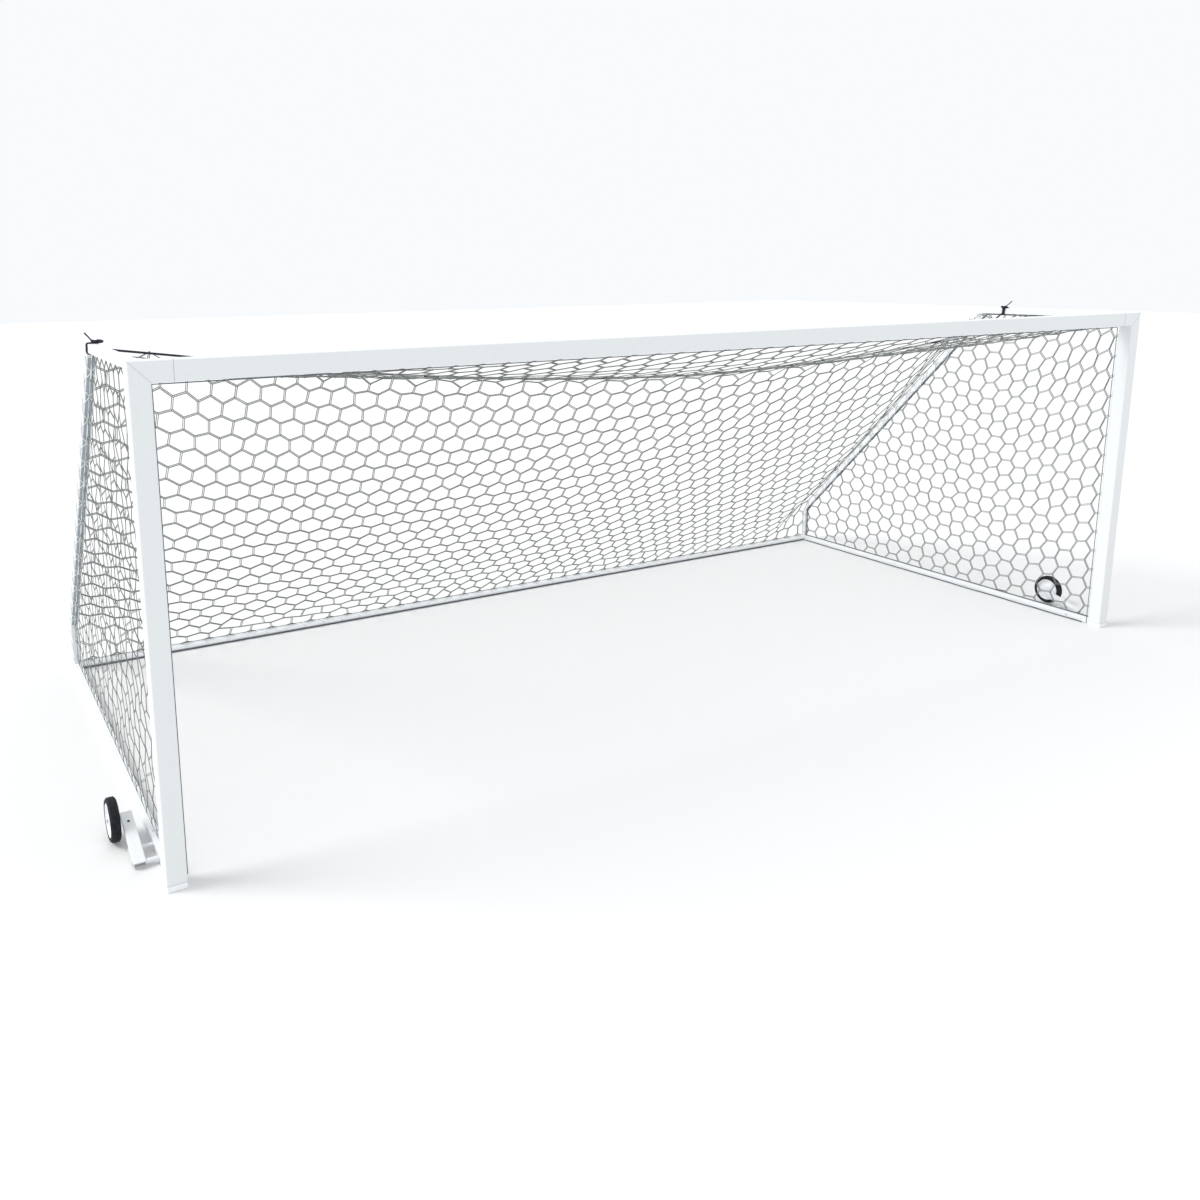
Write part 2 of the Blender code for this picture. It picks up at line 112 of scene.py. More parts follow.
def camera():
    lens = bpy.data.cameras.new("camera")
    lens.sensor_width = 36
    lens.lens = 31.497
    lens.shift_x = 0.0862
    lens.shift_y = -0.1016
    lens.clip_end = 100
    eye = bpy.data.objects.new("camera", lens)
    bpy.context.scene.collection.objects.link(eye)
    turn = Matrix.Rotation(-0.50679, 4, "Z") @ Matrix.Rotation(math.pi / 2 - 0.1982, 4, "X")
    roll = Matrix.Rotation(-0.00875, 4, "Z")
    eye.matrix_world = Matrix.Translation((-4.5669, -4.73403 + FRONT, 2.92317)) @ turn @ roll
    bpy.context.scene.camera = eye


def sun():
    lamp = bpy.data.lights.new("sun", "SUN")
    lamp.energy = 1.9
    lamp.color = (1.0, 0.99, 0.97)
    lamp.angle = math.radians(26)
    made = bpy.data.objects.new("sun", lamp)
    bpy.context.scene.collection.objects.link(made)
    made.location = (-6, 2.2, 6)
    made.rotation_euler = (-made.location).to_track_quat("-Z", "Y").to_euler()


def studio():
    world = bpy.data.worlds.new("studio")
    world.use_nodes = True
    sky = world.node_tree.nodes["Background"]
    sky.inputs["Color"].default_value = (0.96, 0.98, 1.0, 1)
    sky.inputs["Strength"].default_value = 0.98
    bpy.context.scene.world = world
    bpy.context.scene.view_settings.view_transform = "Standard"
    sun()


def floor():
    bpy.ops.mesh.primitive_grid_add(x_subdivisions=4, y_subdivisions=4, size=120)
    ground = bpy.context.active_object
    ground.name = "floor"
    ground.location = (0, 0, -0.001)
    finish = bpy.data.materials.new("floor_white")
    finish.use_nodes = True
    shader = finish.node_tree.nodes["Principled BSDF"]
    shader.inputs["Base Color"].default_value = (0.765, 0.765, 0.765, 1)
    shader.inputs["Roughness"].default_value = 0.9
    shader.inputs["Specular IOR Level"].default_value = 0.1
    ground.data.materials.append(finish)


# ---- materials ----------------------------------------------------------------------------------


def nodes_of(name, roughness, metallic=0.0, specular=0.5):
    made = bpy.data.materials.new(name)
    made.use_nodes = True
    tree = made.node_tree
    shader = tree.nodes["Principled BSDF"]
    shader.inputs["Roughness"].default_value = roughness
    shader.inputs["Metallic"].default_value = metallic
    shader.inputs["Specular IOR Level"].default_value = specular
    return made, tree, shader


def noise(tree, scale, detail=2.0):
    spots = tree.nodes.new("ShaderNodeTexNoise")
    place = tree.nodes.new("ShaderNodeTexCoord")
    tree.links.new(place.outputs["Object"], spots.inputs["Vector"])
    spots.inputs["Scale"].default_value = scale
    spots.inputs["Detail"].default_value = detail
    return spots.outputs["Fac"]


def ramp(tree, source, low, high, start=0.35, end=0.65):
    shade = tree.nodes.new("ShaderNodeValToRGB")
    shade.color_ramp.elements[0].position = start
    shade.color_ramp.elements[1].position = end
    shade.color_ramp.elements[0].color = (*low, 1)
    shade.color_ramp.elements[1].color = (*high, 1)
    tree.links.new(source, shade.inputs["Fac"])
    return shade.outputs["Color"]


def bump(tree, shader, source, strength, distance):
    lift = tree.nodes.new("ShaderNodeBump")
    lift.inputs["Strength"].default_value = strength
    lift.inputs["Distance"].default_value = distance
    tree.links.new(source, lift.inputs["Height"])
    tree.links.new(lift.outputs["Normal"], shader.inputs["Normal"])


def powder_coat():
    made, tree, shader = nodes_of("powder_coat_look", 0.42)
    mottle = noise(tree, 110.0, 5.0)
    colour = ramp(tree, mottle, (0.765, 0.790, 0.805), (0.800, 0.822, 0.836), 0.3, 0.7)
    tree.links.new(colour, shader.inputs["Base Color"])
    bump(tree, shader, noise(tree, 420.0, 3.0), 0.2, 0.0005)
    return made


def plastic():
    made, tree, shader = nodes_of("moulded_plastic_look", 0.5)
    colour = ramp(tree, noise(tree, 30.0), (0.88, 0.90, 0.92), (0.93, 0.945, 0.96))
    tree.links.new(colour, shader.inputs["Base Color"])
    bump(tree, shader, noise(tree, 900.0), 0.15, 0.0003)
    return made


def zinc():
    made, tree, shader = nodes_of("zinc_look", 0.38, 0.9)
    colour = ramp(tree, noise(tree, 260.0, 3.0), (0.42, 0.43, 0.45), (0.62, 0.63, 0.65))
    tree.links.new(colour, shader.inputs["Base Color"])
    bump(tree, shader, noise(tree, 1500.0), 0.1, 0.0002)
    return made


def rubber():
    made, tree, shader = nodes_of("rubber_look", 0.7, specular=0.3)
    colour = ramp(tree, noise(tree, 60.0, 4.0), (0.004, 0.005, 0.008), (0.014, 0.016, 0.022))
    tree.links.new(colour, shader.inputs["Base Color"])
    bump(tree, shader, noise(tree, 700.0, 3.0), 0.3, 0.0005)
    return made


def twine():
    made, tree, shader = nodes_of("twine_look", 0.9, specular=0.2)
    # Painted shade: the twine is white, and this dark grey stands for the shade along its sides.
    shader.inputs["Base Color"].default_value = (0.195, 0.21, 0.20, 1)
    return made


def lacing_look():
    made, tree, shader = nodes_of("lacing_look", 0.9, specular=0.2)
    colour = ramp(tree, noise(tree, 300.0), (0.80, 0.82, 0.83), (0.87, 0.885, 0.895))
    tree.links.new(colour, shader.inputs["Base Color"])
    return made


def lit_rear_bar_coat():
    made, tree, shader = nodes_of("rear_bar_look", 0.42)
    mottle = noise(tree, 110.0, 5.0)
    # Painted light: the same white coat as the other tubes, made brighter here to lift the rear bar
    # out of its shade.
    colour = ramp(tree, mottle, (0.90, 0.925, 0.94), (0.94, 0.955, 0.965), 0.3, 0.7)
    tree.links.new(colour, shader.inputs["Base Color"])
    bump(tree, shader, noise(tree, 420.0, 3.0), 0.2, 0.0005)
    return made


def plug_look():
    made, tree, shader = nodes_of("plug_look", 0.6, specular=0.3)
    # Painted shade: near-black, standing for the shade inside holes.
    colour = ramp(tree, noise(tree, 400.0), (0.005, 0.005, 0.007), (0.015, 0.016, 0.02))
    tree.links.new(colour, shader.inputs["Base Color"])
    return made


def tape_look():
    made, tree, shader = nodes_of("tape_look", 0.8, specular=0.2)
    # Painted shade: a blue-grey strip standing for the shade on the backstay's underside.
    colour = ramp(tree, noise(tree, 300.0, 3.0), (0.30, 0.35, 0.38), (0.38, 0.43, 0.46))
    tree.links.new(colour, shader.inputs["Base Color"])
    return made


def edge_cord_look():
    made, tree, shader = nodes_of("edge_cord_look", 0.85, specular=0.2)
    # Dark grey, for the edge cords and for the painted shadow along the foot of the bars.
    colour = ramp(tree, noise(tree, 300.0), (0.11, 0.13, 0.15), (0.15, 0.17, 0.19))
    tree.links.new(colour, shader.inputs["Base Color"])
    return made


def rope_look():
    made, tree, shader = nodes_of("rope_look", 0.85, specular=0.25)
    colour = ramp(tree, noise(tree, 500.0), (0.012, 0.012, 0.02), (0.045, 0.045, 0.065))
    tree.links.new(colour, shader.inputs["Base Color"])
    return made


def seam_look():
    made, tree, shader = nodes_of("seam_look", 0.7)
    colour = ramp(tree, noise(tree, 200.0), (0.38, 0.41, 0.44), (0.46, 0.49, 0.52))
    tree.links.new(colour, shader.inputs["Base Color"])
    return made


# ---- mesh helpers -------------------------------------------------------------------------------


def piece(name, verts, faces, finish, body, smooth=True):
    mesh = bpy.data.meshes.new(name)
    mesh.from_pydata(verts, [], faces)
    mesh.update()
    if smooth:
        mesh.shade_smooth()
    made = bpy.data.objects.new(name, mesh)
    bpy.context.scene.collection.objects.link(made)
    mesh.materials.append(finish)
    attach(made, body)
    return made


def sweep(path, radius, sides, closed, verts, faces, up=None):
    """Adds a tube along a path to the vertex and face lists."""
    path = np.asarray(path, float)
    count = len(path)
    before = np.roll(path, 1, axis=0)
    after = np.roll(path, -1, axis=0)
    if not closed:
        before[0] = path[0]
        after[-1] = path[-1]
    along = after - before
    along /= np.linalg.norm(along, axis=1)[:, None] + 1e-12
    if up is None:
        up = np.array([0.31, 0.52, 0.79])
    up = np.broadcast_to(np.asarray(up, float), path.shape)
    across = np.cross(along, up)
    across /= np.linalg.norm(across, axis=1)[:, None] + 1e-12
    over = np.cross(across, along)
    base = len(verts)
    angles = 2 * math.pi * (np.arange(sides) + 0.5) / sides
    ring = (
        path[:, None, :]
        + radius * np.cos(angles)[None, :, None] * across[:, None, :]
        + radius * np.sin(angles)[None, :, None] * over[:, None, :]
    )
    verts.extend(map(tuple, ring.reshape(-1, 3)))
    last = count if closed else count - 1
    for i in range(last):
        a = base + i * sides
        b = base + ((i + 1) % count) * sides
        for k in range(sides):
            n = (k + 1) % sides
            faces.append((a + k, a + n, b + n, b + k))
    if not closed:
        faces.append(tuple(base + k for k in range(sides)))
        faces.append(tuple(base + (count - 1) * sides + k for k in reversed(range(sides))))


def smooth_route(route, steps):
    places = [Vector((x, FRONT + depth, z)) for x, depth, z in route]
    ends = [2 * places[0] - places[1], *places, 2 * places[-1] - places[-2]]
    points = []
    for before, start, end, after in zip(ends, ends[1:], ends[2:], ends[3:]):
        for step in range(steps):
            t = step / steps
            curve = 2 * start + (end - before) * t
            curve += (2 * before - 5 * start + 4 * end - after) * t * t
            curve += (3 * start - before - 3 * end + after) * t**3
            points.append(curve / 2)
    return points + [places[-1]]


def clip(polygon, normal, limit):
    """The part of a flat polygon with normal . point <= limit."""
    kept = []
    for a, b in zip(polygon, polygon[1:] + polygon[:1]):
        da = normal[0] * a[0] + normal[1] * a[1] - limit
        db = normal[0] * b[0] + normal[1] * b[1] - limit
        if da <= 0:
            kept.append(a)
        if (da < 0 < db) or (db < 0 < da):
            t = da / (da - db)
            kept.append((a[0] + (b[0] - a[0]) * t, a[1] + (b[1] - a[1]) * t))
    return kept


def area(polygon):
    total = 0
    for a, b in zip(polygon, polygon[1:] + polygon[:1]):
        total += a[0] * b[1] - a[1] * b[0]
    return abs(total) / 2


def hexagons(columns, rows, width, pitch):
    """Pointed hexagons in rows, as corner lists; each row is offset by half a cell."""
    rise = pitch / 6
    cells = []
    for row in range(rows):
        for column in range(-1, columns + 1):
            x = (column + (row % 2) / 2) * width
            y = row * pitch
            half = width / 2
            cells.append(
                [
                    (x, y + rise),
                    (x + half, y - rise),
                    (x + width, y + rise),
                    (x + width, y + pitch - rise),
                    (x + half, y + pitch + rise),
                    (x, y + pitch - rise),
                ]
            )
    return cells


def netting(cells, place, verts, faces, full, radius=TWINE, pair=PAIR):
    """Paired twines round every cell, and a knot at every corner they share."""
    knots = {}
    for cell in cells:
        if len(cell) < 3 or area(cell) < 0.02 * full:
            continue
        corners = [np.array(place(*corner)) for corner in cell]
        centre = sum(corners) / len(corners)
        size = math.sqrt(max(area(cell), 0.12 * full) / full)
        scale = 1 - pair / (0.5 * CELL * size)
        inset = [centre + (corner - centre) * scale for corner in corners]
        path = []
        for a, b in zip(inset, inset[1:] + inset[:1]):
            path.append(a + (b - a) * 0.06)
            path.append(b - (b - a) * 0.06)
        normal = np.cross(corners[1] - corners[0], corners[2] - corners[0])
        sweep(path, radius, 4, True, verts, faces, normal / (np.linalg.norm(normal) + 1e-9))
        for corner, spot in zip(cell, corners):
            knots[(round(corner[0], 4), round(corner[1], 4))] = spot
    for spot in knots.values():
        knot(spot, verts, faces, 1.9 * radius)


def knot(spot, verts, faces, size):
    base = len(verts)
    for axis in range(3):
        for sign in (-1, 1):
            point = np.array(spot, float)
            point[axis] += sign * size
            verts.append(tuple(point))
    for a in (0, 1):
        for b in (2, 3):
            for c in (4, 5):
                odd = (a + b + c) % 2
                triangle = (base + a, base + b, base + c)
                faces.append(triangle if odd == 1 else triangle[::-1])


# ---- netting ------------------------------------------------------------------------------------


ROPE = smooth_route(ROPE_ROUTE, 8)
ROPE_X = np.array([point.x for point in ROPE])
ROPE_Y = np.array([point.y for point in ROPE])
ROPE_Z = np.array([point.z for point in ROPE])


def rope_at(x):
    return np.array([x, np.interp(x, ROPE_X, ROPE_Y), np.interp(x, ROPE_X, ROPE_Z)])


def wobble(a, b, amount):
    """A small repeatable unevenness."""
    return amount * (math.sin(a * 37.1 + b * 11.3) + math.sin(a * 12.7 - b * 29.9)) / 2


def spread(step, drop=0.0):
    """Where a column stands across the goal: narrower cells at the upper left, wider below."""
    turn = 2 * math.pi * step
    bend = 0.08 * math.sin(turn) / (2 * math.pi) + 0.045 * math.sin(turn / 2) / math.pi
    return step - (1 - 1.7 * drop) * bend


def blend_points(points, share):
    """A point so far along a bent path, as a share of its whole length."""
    points = [np.array(point, float) for point in points]
    lengths = [np.linalg.norm(b - a) for a, b in zip(points, points[1:])]
    left = share * sum(lengths)
    for a, b, length in zip(points, points[1:], lengths):
        if left <= length or b is points[-1]:
            return a + (b - a) * left / length
        left -= length
    return points[-1]


def roof_and_back():
    """One net from the crossbar, over the rope and down to the rear bar."""
    half = TUBE_INNER + 0.004
    width = CELL
    pitch = NET_PITCH
    rows = ROOF_ROWS + BACK_ROWS
    fold = ROOF_ROWS * pitch
    last = rows * pitch
    total = COLUMNS * width
    cells = []
    for cell in hexagons(COLUMNS, rows + 1, width, pitch):
        for direction, bound in (((-1, 0), 0), ((1, 0), total), ((0, -1), 0), ((0, 1), last)):
            cell = clip(cell, direction, bound) if cell else cell
        cells.append(cell)

    def edge(x):
        return min(1.0, max(0.0, (half - abs(x)) / 0.25))

    def place(u, v):
        drop = max(0.0, (v - fold) / (last - fold))
        x = half * (2 * spread(u / total, drop) - 1)
        rope = rope_at(max(min(x, ROPE_X[-1]), ROPE_X[0]))
        rope[0] = x
        top = np.array([x, FRONT + POST + 0.004, HEIGHT - POST - 0.004 + 0.06 * (1 - edge(x))])
        foot = np.array([x, REAR_Y - 0.004, 0.054])
        if v < fold:
            t = v / fold
            spot = top * (1 - t) + rope * t
            spot[2] -= 0.05 * math.sin(math.pi * t) * edge(x)
        else:
            t = (v - fold) / (last - fold)
            t += 0.10 * t * (1 - t)
            side = smoothstep(1 - (half - abs(x)) / 0.7)
            corner = (x, FRONT + TOP_DEPTH + 0.010, HEIGHT - 0.030)
            knee = (x, REAR_Y + 0.012, KNEE + 0.020)
            along_stay = blend_points((corner, knee, foot), t)
            spot = (rope * (1 - t) + foot * t) * (1 - side) + along_stay * side
            bow = math.sin(math.pi * t) * 0.06 * edge(x)
            spot[1] -= bow * 0.7
            spot[2] -= bow * 0.7
        near = max(0.0, 1 - abs(v - fold) / (1.2 * pitch))
        step = (u / width) % 2
        tied = abs(step - round(step / 2) * 2)
        spot[2] -= 0.055 * near * min(tied, 1.0) * edge(x)
        low = max(0.0, 1 - (last - v) / (3 * pitch))
        inside = min(v, last - v) / pitch
        calm = min(max(inside, 0.0), 1.0) * edge(x)
        spot[2] += wobble(u, v, 0.006 + 0.020 * low) * calm
        spot[0] += wobble(v, u, 0.006 + 0.018 * low) * calm
        return spot

    verts, faces = [], []
    netting(cells, place, verts, faces, width * pitch)
    made = piece("roof_and_back_netting", verts, faces, SHADED_TWINE_LOOK, "goal_frame")
    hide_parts("roof_net", "back_net")


def window():
    """The side panel's outline, back and up, inside the tubes of a side frame."""
    clear = TUBE / 2 + 0.004
    high = Vector((FRONT + TOP_DEPTH - TUBE / 2, TUBE_TOP))
    low = Vector((REAR_Y, KNEE))
    along = (low - high).normalized()
    under = high + Vector((along.y, -along.x)) * clear
    front = FRONT + POST + 0.005
    rear = REAR_Y - clear
    top = HEIGHT - TUBE - 0.005
    bottom = TUBE + 0.004
    knee = under + along * (rear - under.x) / along.x
    shoulder = under + along * (top - under.y) / along.y
    return [
        Vector((front, bottom)),
        Vector((rear, bottom)),
        knee,
        shoulder,
        Vector((front, top)),
    ]


def smoothstep(value):
    t = min(max(value, 0.0), 1.0)
    return t * t * (3 - 2 * t)


def settled(y):
    """How far the panel has settled into even cells, from 0 at the post to 1 behind it."""
    return 1 - max(0.0, 1 - max(y, 0.0) / 1.1) ** 2


def pulled(y, z):
    """The side panel is drawn up towards the top front corner."""
    reach = max(0.0, 1.45 - (y - FRONT))
    high = min(max(z / 2.2, 0.0), 1.0)
    squeezed = 0.14 * high * settled(y - FRONT - POST)
    return y - squeezed, z + 0.36 * reach * reach * (0.15 + 0.85 * high)


def side_netting(label, side):
    """The side panel, laced inside the window of its frame."""
    outline = window()
    bounds = []
    for a, b in zip(outline, outline[1:] + outline[:1]):
        way = (b - a).normalized()
        normal = (way.y, -way.x)
        bounds.append((normal, normal[0] * a.x + normal[1] * a.y))
    front = outline[0].x
    cells = []
    for cell in hexagons(SIDE_COLUMNS, SIDE_ROWS, SIDE_CELL, SIDE_ROW):
        if side < 0:
            cell = [(REAR_Y - x, HEIGHT + 0.04 - 0.92 * y) for x, y in cell]
        else:
            cell = [
                pulled(front - 0.05 + y, x * (0.93 + 0.07 * settled(y)) - 0.09)
                for x, y in cell
            ]
        for normal, bound in bounds:
            cell = clip(cell, normal, bound) if cell else cell
        cells.append(cell)

    def place(y, z):
        gap = min(bound - normal[0] * y - normal[1] * z for normal, bound in bounds)
        calm = min(max(gap / 0.2, 0.0), 1.0)
        return (
            side * (POST_X + wobble(y, z, 0.010) * calm),
            y + wobble(z, y, 0.008) * calm,
            z + wobble(y + 3, z, 0.008) * calm,
        )

    verts, faces = [], []
    radius, pair = (NEAR_TWINE, NEAR_PAIR) if side < 0 else (TWINE, PAIR)
    netting(cells, place, verts, faces, SIDE_CELL * SIDE_ROW, radius, pair)
    name = f"{label}_side_netting"
    made = piece(name, verts, faces, SHADED_TWINE_LOOK, "goal_frame")
    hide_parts(f"{label}_side_net")
    verts, faces = [], []
    corners = [(side * POST_X, point.x, point.y) for point in outline]
    sweep(subdivided(corners, 0.08), EDGE_CORD, 6, True, verts, faces, (1, 0, 0))
    # On the right the edge cord is dark: partly the panel's cord, partly painted shade along the
    # shaded lower edge of the backstay.
    look, slot = (LACING_LOOK, "white_net") if side < 0 else (CORD_AND_SHADOW_LOOK, "black_rope")
    piece(f"{label}_panel_edge_cord", verts, faces, look, "goal_frame")


def subdivided(corners, step):
    """Points along a closed outline, a short step apart."""
    points = []
    for a, b in zip(corners, corners[1:] + corners[:1]):
        a, b = np.array(a), np.array(b)
        count = max(1, int(np.linalg.norm(b - a) / step))
        points.extend(a + (b - a) * i / count for i in range(count))
    return points


def wrapped(start, end, across, over, half, pitch, power=8, turn=0):
    """A twine wound round a bar: turn is 0 or 2 for one way, and 1 or 3 for the other."""
    start, end = np.array(start, float), np.array(end, float)
    across, over = np.array(across, float), np.array(over, float)
    turns = max(1, round(np.linalg.norm(end - start) / pitch))
    steps = 16
    way = -1 if turn % 2 else 1
    path = []
    for i in range(turns * steps + 1):
        angle = way * 2 * math.pi * i / steps + (turn // 2) * math.pi
        c, d = math.cos(angle), math.sin(angle)
        ring = (abs(c) ** power + abs(d) ** power) ** (-1 / power)
        middle = start + (end - start) * i / (turns * steps)
        path.append(middle + half * ring * (c * across + d * over))
    return path


def frame_lacing(label, side):
    """Twine wound round the backstay and the riser, and a dark strip of painted shade under the
    backstay.
    """
    high = np.array([side * POST_X, FRONT + TOP_DEPTH - TUBE / 2, TUBE_TOP])
    low = np.array([side * POST_X, REAR_Y, KNEE])
    way = (low - high) / np.linalg.norm(low - high)
    over = np.cross(way, (1.0, 0, 0))
    half = TUBE / 2 + LACING + 0.0002
    x = side * POST_X
    runs = (
        (high + way * 0.06, low - way * 0.04, (1, 0, 0), over, 0.40),
        ((x, REAR_Y, KNEE - 0.05), (x, REAR_Y, TUBE + 0.02), (1, 0, 0), (0, 1, 0), 0.40),
    )
    verts, faces = [], []
    for start, end, across, up, pitch in runs:
        for turn in range(4):
            path = wrapped(start, end, across, up, half, pitch, turn=turn)
            sweep(path, LACING, 5, False, verts, faces)
    piece(f"{label}_frame_lacing", verts, faces, LACING_LOOK, "goal_frame")

    # Painted shade: a thin dark strip along the backstay's underside.
    under = -over if over[2] > 0 else over
    wide = 0.019
    near = TUBE / 2 + 0.0002
    far = near + 0.0008
    verts = []
    for spot in (high + way * 0.05, low - way * 0.03):
        for out, off in ((near, -wide), (near, wide), (far, wide), (far, -wide)):
            point = spot + under * out
            verts.append((point[0] + off, point[1], point[2]))
    sides = [(a, (a + 1) % 4, (a + 1) % 4 + 4, a + 4) for a in range(4)]
    faces = [*sides, (3, 2, 1, 0), (4, 5, 6, 7)]
    name = f"{label}_backstay_painted_shade"
    piece(name, verts, faces, BACKSTAY_SHADE_LOOK, "goal_frame", smooth=False)


def bar_lacing():
    """Twine wound round the rear bar and the rope, the cord at the mouth, and a painted shadow
    along the foot of the bars.
    """
    verts, faces = [], []
    half = PIPE / 2 + LACING + 0.0002
    ends = TUBE_INNER - 0.22
    start, end = (-ends, REAR_Y, TUBE / 2), (ends, REAR_Y, TUBE / 2)
    path = wrapped(start, end, (0, 1, 0), (0, 0, 1), half, 0.16, 2)
    sweep(path, LACING, 5, False, verts, faces)
    piece("rear_bar_lacing", verts, faces, LACING_LOOK, "goal_frame")

    verts, faces = [], []
    tied = 6
    while tied < COLUMNS - 1:
        left = POST_X * (2 * spread((tied - 1.95) / COLUMNS) - 1)
        right = POST_X * (2 * spread((tied - 0.62) / COLUMNS) - 1)
        path = []
        turns = 26
        for i in range(turns * 8 + 1):
            angle = 2 * math.pi * i / 8
            middle = rope_at(left + (right - left) * i / (turns * 8))
            reach = ROPE_RADIUS + LACING
            middle[1] += reach * math.cos(angle)
            middle[2] += reach * math.sin(angle)
            path.append(middle)
        sweep(path, LACING, 4, False, verts, faces)
        tied += 2
    piece("rope_lacing", verts, faces, LACING_LOOK, "goal_frame")

    verts, faces = [], []
    inner = POST_X - POST / 2
    y = FRONT + POST + EDGE_CORD + 0.0005
    high = HEIGHT - POST - 0.015
    left = [(-inner + 0.020, y, z) for z in np.linspace(0.012, high, 30)]
    across = [(x, y, high) for x in np.linspace(-inner + 0.02, inner - 0.006, 80)[1:]]
    right = [(inner - 0.006, y, z) for z in np.linspace(high, 0.012, 30)[1:]]
    sweep(left + across + right, MOUTH_CORD, 6, False, verts, faces, (0, 1, 0))
    piece("mouth_edge_cord", verts, faces, CORD_AND_SHADOW_LOOK, "goal_frame")

    # Painted shadow: dark wavy cords along the foot of the rear bar and the side ground bars stand
    # for the contact shadow under them.
    verts, faces = [], []
    ends = TUBE_INNER - 0.004
    path = [
        (x, REAR_Y - PIPE / 2 - 0.001 + wobble(x * 0.8, x, 0.002), 0.0062 + wobble(x, 1, 0.0012))
        for x in np.linspace(-ends, ends, 320)
    ]
    sweep(path, REAR_FOOT_SHADOW, 6, False, verts, faces, (0, 0, 1))
    for side in (-1, 1):
        x = side * (TUBE_INNER - 0.0052)
        path = [
            (
                x - side * abs(wobble(y * 0.25, y * 0.2, 0.009)),
                y,
                0.0058 + wobble(y, 2, 0.0010),
            )
            for y in np.linspace(FRONT + 0.16, REAR_Y - 0.05, 160)
        ]
        sweep(path, SIDE_FOOT_SHADOW, 6, False, verts, faces, (0, 0, 1))
    piece("net_foot_cord", verts, faces, CORD_AND_SHADOW_LOOK, "goal_frame")


def square_ring(size, corner, steps=4):
    """The outline of a square tube's outside, as flat points."""
    points = []
    for quarter in range(4):
        turn = quarter * math.pi / 2
        middle = size / 2 - corner
        for step in range(steps + 1):
            angle = turn + step / steps * math.pi / 2
            cx = middle * (1 if quarter in (0, 3) else -1)
            cy = middle * (1 if quarter in (0, 1) else -1)
            points.append((cx + corner * math.cos(angle), cy + corner * math.sin(angle)))
    return points


def seams(label, side):
    """The joint lines round the crossbar's splice, the mitre and the top of the foot."""
    verts, faces = [], []
    middle = FRONT + POST / 2
    top = HEIGHT - POST / 2
    ring = square_ring(POST, 0.009)
    up = side * SEAM_X
    sweep([(up, middle + a, top + b) for a, b in ring], 0.0012, 5, True, verts, faces, (1, 0, 0))
    foot = 0.033
    x = side * POST_X
    sweep([(x + a, middle + b, foot) for a, b in ring], 0.0010, 5, True, verts, faces, (0, 0, 1))
    mitre = [(x + a, middle + b, top + side * a) for a, b in ring]
    sweep(mitre, 0.0008, 5, True, verts, faces, (-side, 0, 1))
    piece(f"{label}_joint_lines", verts, faces, SEAM_LOOK, "goal_frame")


# ---- rope ---------------------------------------------------------------------------------------


def support_rope():
    line = bpy.data.curves.new("support_rope_line", "CURVE")
    line.dimensions = "3D"
    line.bevel_depth = ROPE_RADIUS
    line.bevel_resolution = 3
    line.use_fill_caps = True
    spline = line.splines.new("POLY")
    spline.points.add(len(ROPE) - 1)
    for point, place in zip(spline.points, ROPE):
        point.co = (*place, 1)
    made = bpy.data.objects.new("support_rope_line", line)
    bpy.context.scene.collection.objects.link(made)
    line.materials.append(ROPE_LOOK)
    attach(made, "goal_frame")
    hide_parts("support_rope")


def disc(centre, axis, across, radius, thick, verts, faces):
    """A flat round disc with its top face at a point."""
    axis, across = Vector(axis).normalized(), Vector(across).normalized()
    over = axis.cross(across)
    base = len(verts)
    count = 16
    for drop in (0, thick):
        for k in range(count):
            angle = 2 * math.pi * k / count
            spot = Vector(centre) - axis * drop
            spot += radius * (math.cos(angle) * across + math.sin(angle) * over)
            verts.append(tuple(spot))
    faces.append(tuple(range(base, base + count)))
    faces.append(tuple(reversed(range(base + count, base + 2 * count))))
    for k in range(count):
        n = (k + 1) % count
        faces.append((base + n, base + k, base + count + k, base + count + n))


def hole_shades(label, side):
    """Painted shade: dark discs in the holes of the ground bar and the wheel arm, and a dark disc
    on its bolt's head.
    """
    verts, faces = [], []
    for depth in (0.936, 1.361):
        spot = (side * POST_X, FRONT + depth, TUBE - 0.0008)
        disc(spot, (0, 0, 1), (1, 0, 0), 0.0058, 0.002, verts, faces)
    seat = (side * POST_X, FRONT + 0.533, TUBE + 0.0056)
    disc(seat, (0, 0, 1), (1, 0, 0), 0.0045, 0.0012, verts, faces)
    piece(f"{label}_bar_hole_shades", verts, faces, HOLE_SHADE_LOOK, "goal_frame", smooth=False)
    pivot = Vector((side * ARM_X, FRONT + 0.30, TUBE / 2))
    axle = Vector((side * ARM_X, AXLE_Y, AXLE_Z))
    along = (axle - pivot).normalized()
    up = X.cross(along)
    spot = pivot + along * ((axle - pivot).length - 0.055) + up * (0.0381 / 2 + 0.0006)
    verts, faces = [], []
    disc(spot, up, X, 0.0072, 0.0009, verts, faces)
    body = f"{label}_wheel_arm"
    piece(f"{label}_arm_hole_shade", verts, faces, HOLE_SHADE_LOOK, body, smooth=False)


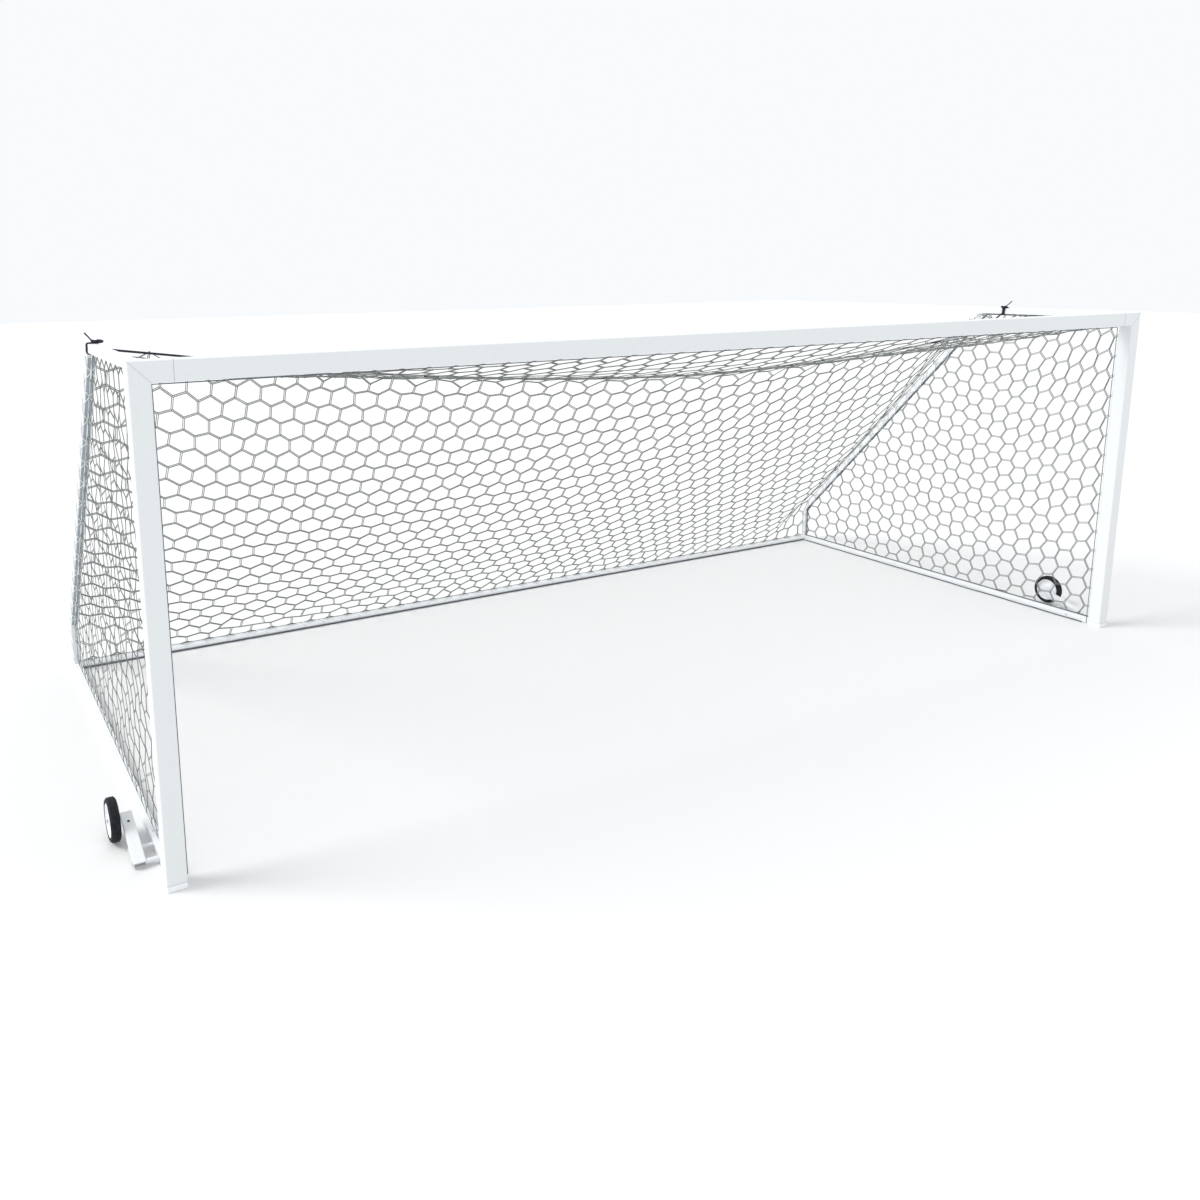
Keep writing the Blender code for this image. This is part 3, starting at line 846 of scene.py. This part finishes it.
def wheel_details(label, side):
    """Ribs round the tread, rings round the rim and the hub, and spokes across the disc."""
    centre = np.array([side * WHEEL_X, AXLE_Y, AXLE_Z])

    def ring(radius, off, thick, verts, faces):
        angles = np.linspace(0, 2 * math.pi, 48, endpoint=False)
        path = [centre + (off, radius * math.cos(a), radius * math.sin(a)) for a in angles]
        sweep(path, thick, 6, True, verts, faces, (1, 0, 0))

    verts, faces = [], []
    for off in (-0.015, -0.005, 0.005, 0.015):
        ring(WHEEL_RADIUS - 0.0010, off, 0.0022, verts, faces)
    piece(f"{label}_tyre_ribs", verts, faces, RUBBER_LOOK, f"{label}_wheel")
    verts, faces = [], []
    for off in (-0.0215, 0.0215):
        ring(RIM_RADIUS - 0.003, off, 0.0028, verts, faces)
        ring(0.026, off * 1.02, 0.0020, verts, faces)
    for k in range(6):
        a = k * math.pi / 3
        way = np.array([0, math.cos(a), math.sin(a)])
        for off in (-0.0045, 0.0045):
            start = centre + way * 0.027 + (off, 0, 0)
            end = centre + way * 0.082 + (off, 0, 0)
            sweep([start, end], 0.0040, 8, False, verts, faces, (1, 0, 0))
    piece(f"{label}_rim_ribs", verts, faces, PLASTIC_LOOK, f"{label}_wheel")


def rope_tail(label, side, depth):
    """The free end of the cord, standing up from its knot."""
    x = side * (POST_X - 0.012)
    y = FRONT + depth
    base = HEIGHT + 0.004
    path = [
        (x, y + 0.012, base),
        (x + side * 0.010, y + 0.004, base + 0.010),
        (x + side * 0.022, y - 0.008, base + 0.024),
        (x + side * 0.036, y - 0.018, base + 0.040),
        (x + side * 0.050, y - 0.026, base + 0.056),
    ]
    verts, faces = [], []
    sweep(path, 0.0038, 8, False, verts, faces, (0, 0, 1))
    knot_path = []
    for step in range(48):
        a = 2 * math.pi * step / 48
        wide = 0.014 + 0.007 * math.cos(3 * a)
        knot_path.append(
            (
                x - side * (0.012 + 1.5 * wide * math.cos(2 * a)),
                y + wide * math.sin(2 * a),
                base + 0.007 + 0.005 * math.sin(3 * a),
            )
        )
    sweep(knot_path, 0.0052, 8, True, verts, faces, (0, 0, 1))
    piece(f"{label}_rope_tail", verts, faces, ROPE_LOOK, "goal_frame")


def rope_tie(label, side, depth, turns):
    """Turns of black cord round the top depth bar."""
    verts, faces = [], []
    reach = TUBE / 2 + 0.0043
    count = 40 * turns
    path = []
    for step in range(count + 1):
        angle = 2 * math.pi * step / 40
        ring = (abs(math.cos(angle)) ** 6 + abs(math.sin(angle)) ** 6) ** (-1 / 6)
        along = (step / count - 0.5) * turns * 0.0085
        path.append(
            (
                side * (POST_X + reach * ring * math.cos(angle)),
                FRONT + depth + along,
                TUBE_TOP + reach * ring * math.sin(angle),
            )
        )
    sweep(path, 0.004, 8, False, verts, faces, (0, 1, 0))
    made = piece(f"{label}_rope_lashing", verts, faces, ROPE_LOOK, "goal_frame")
    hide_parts(f"{label}_rope_tie")


# ---- finishes on the frame ----------------------------------------------------------------------


def dress_frame():
    groups = {
        COAT_LOOK: (
            "upright",
            "crossbar",
            "crossbar_stub",
            "top_depth_bar",
            "backstay",
            "rear_riser",
            "side_ground_bar",
            "wheel_arm",
            "arm_rest_bar",
            "pivot_sleeve",
        ),
        LIT_REAR_BAR_LOOK: ("rear_ground_bar",),
        PLASTIC_LOOK: ("post_foot", "wheel_rim"),
        RUBBER_LOOK: ("tyre",),
    }
    for name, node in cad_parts.items():
        short = name.replace("left_", "").replace("right_", "")
        look = next((look for look, names in groups.items() if short in names), ZINC_LOOK)
        for slot in node.material_slots:
            slot.link = "OBJECT"
            slot.material = look
        if not node.material_slots:
            node.data.materials.append(look)


camera()
studio()
floor()
COAT_LOOK = powder_coat()
PLASTIC_LOOK = plastic()
ZINC_LOOK = zinc()
RUBBER_LOOK = rubber()
SHADED_TWINE_LOOK = twine()
ROPE_LOOK = rope_look()
SEAM_LOOK = seam_look()
LACING_LOOK = lacing_look()
CORD_AND_SHADOW_LOOK = edge_cord_look()
LIT_REAR_BAR_LOOK = lit_rear_bar_coat()
BACKSTAY_SHADE_LOOK = tape_look()
HOLE_SHADE_LOOK = plug_look()
support_rope()
rope_tie("left", -1, LEFT_TIE, 3)
rope_tie("right", 1, RIGHT_TIE, 3)
rope_tail("left", -1, LEFT_TIE)
rope_tail("right", 1, RIGHT_TIE)
dress_frame()
roof_and_back()
bar_lacing()
for label, side in SIDES:
    side_netting(label, side)
    frame_lacing(label, side)
    seams(label, side)
    wheel_details(label, side)
    hole_shades(label, side)
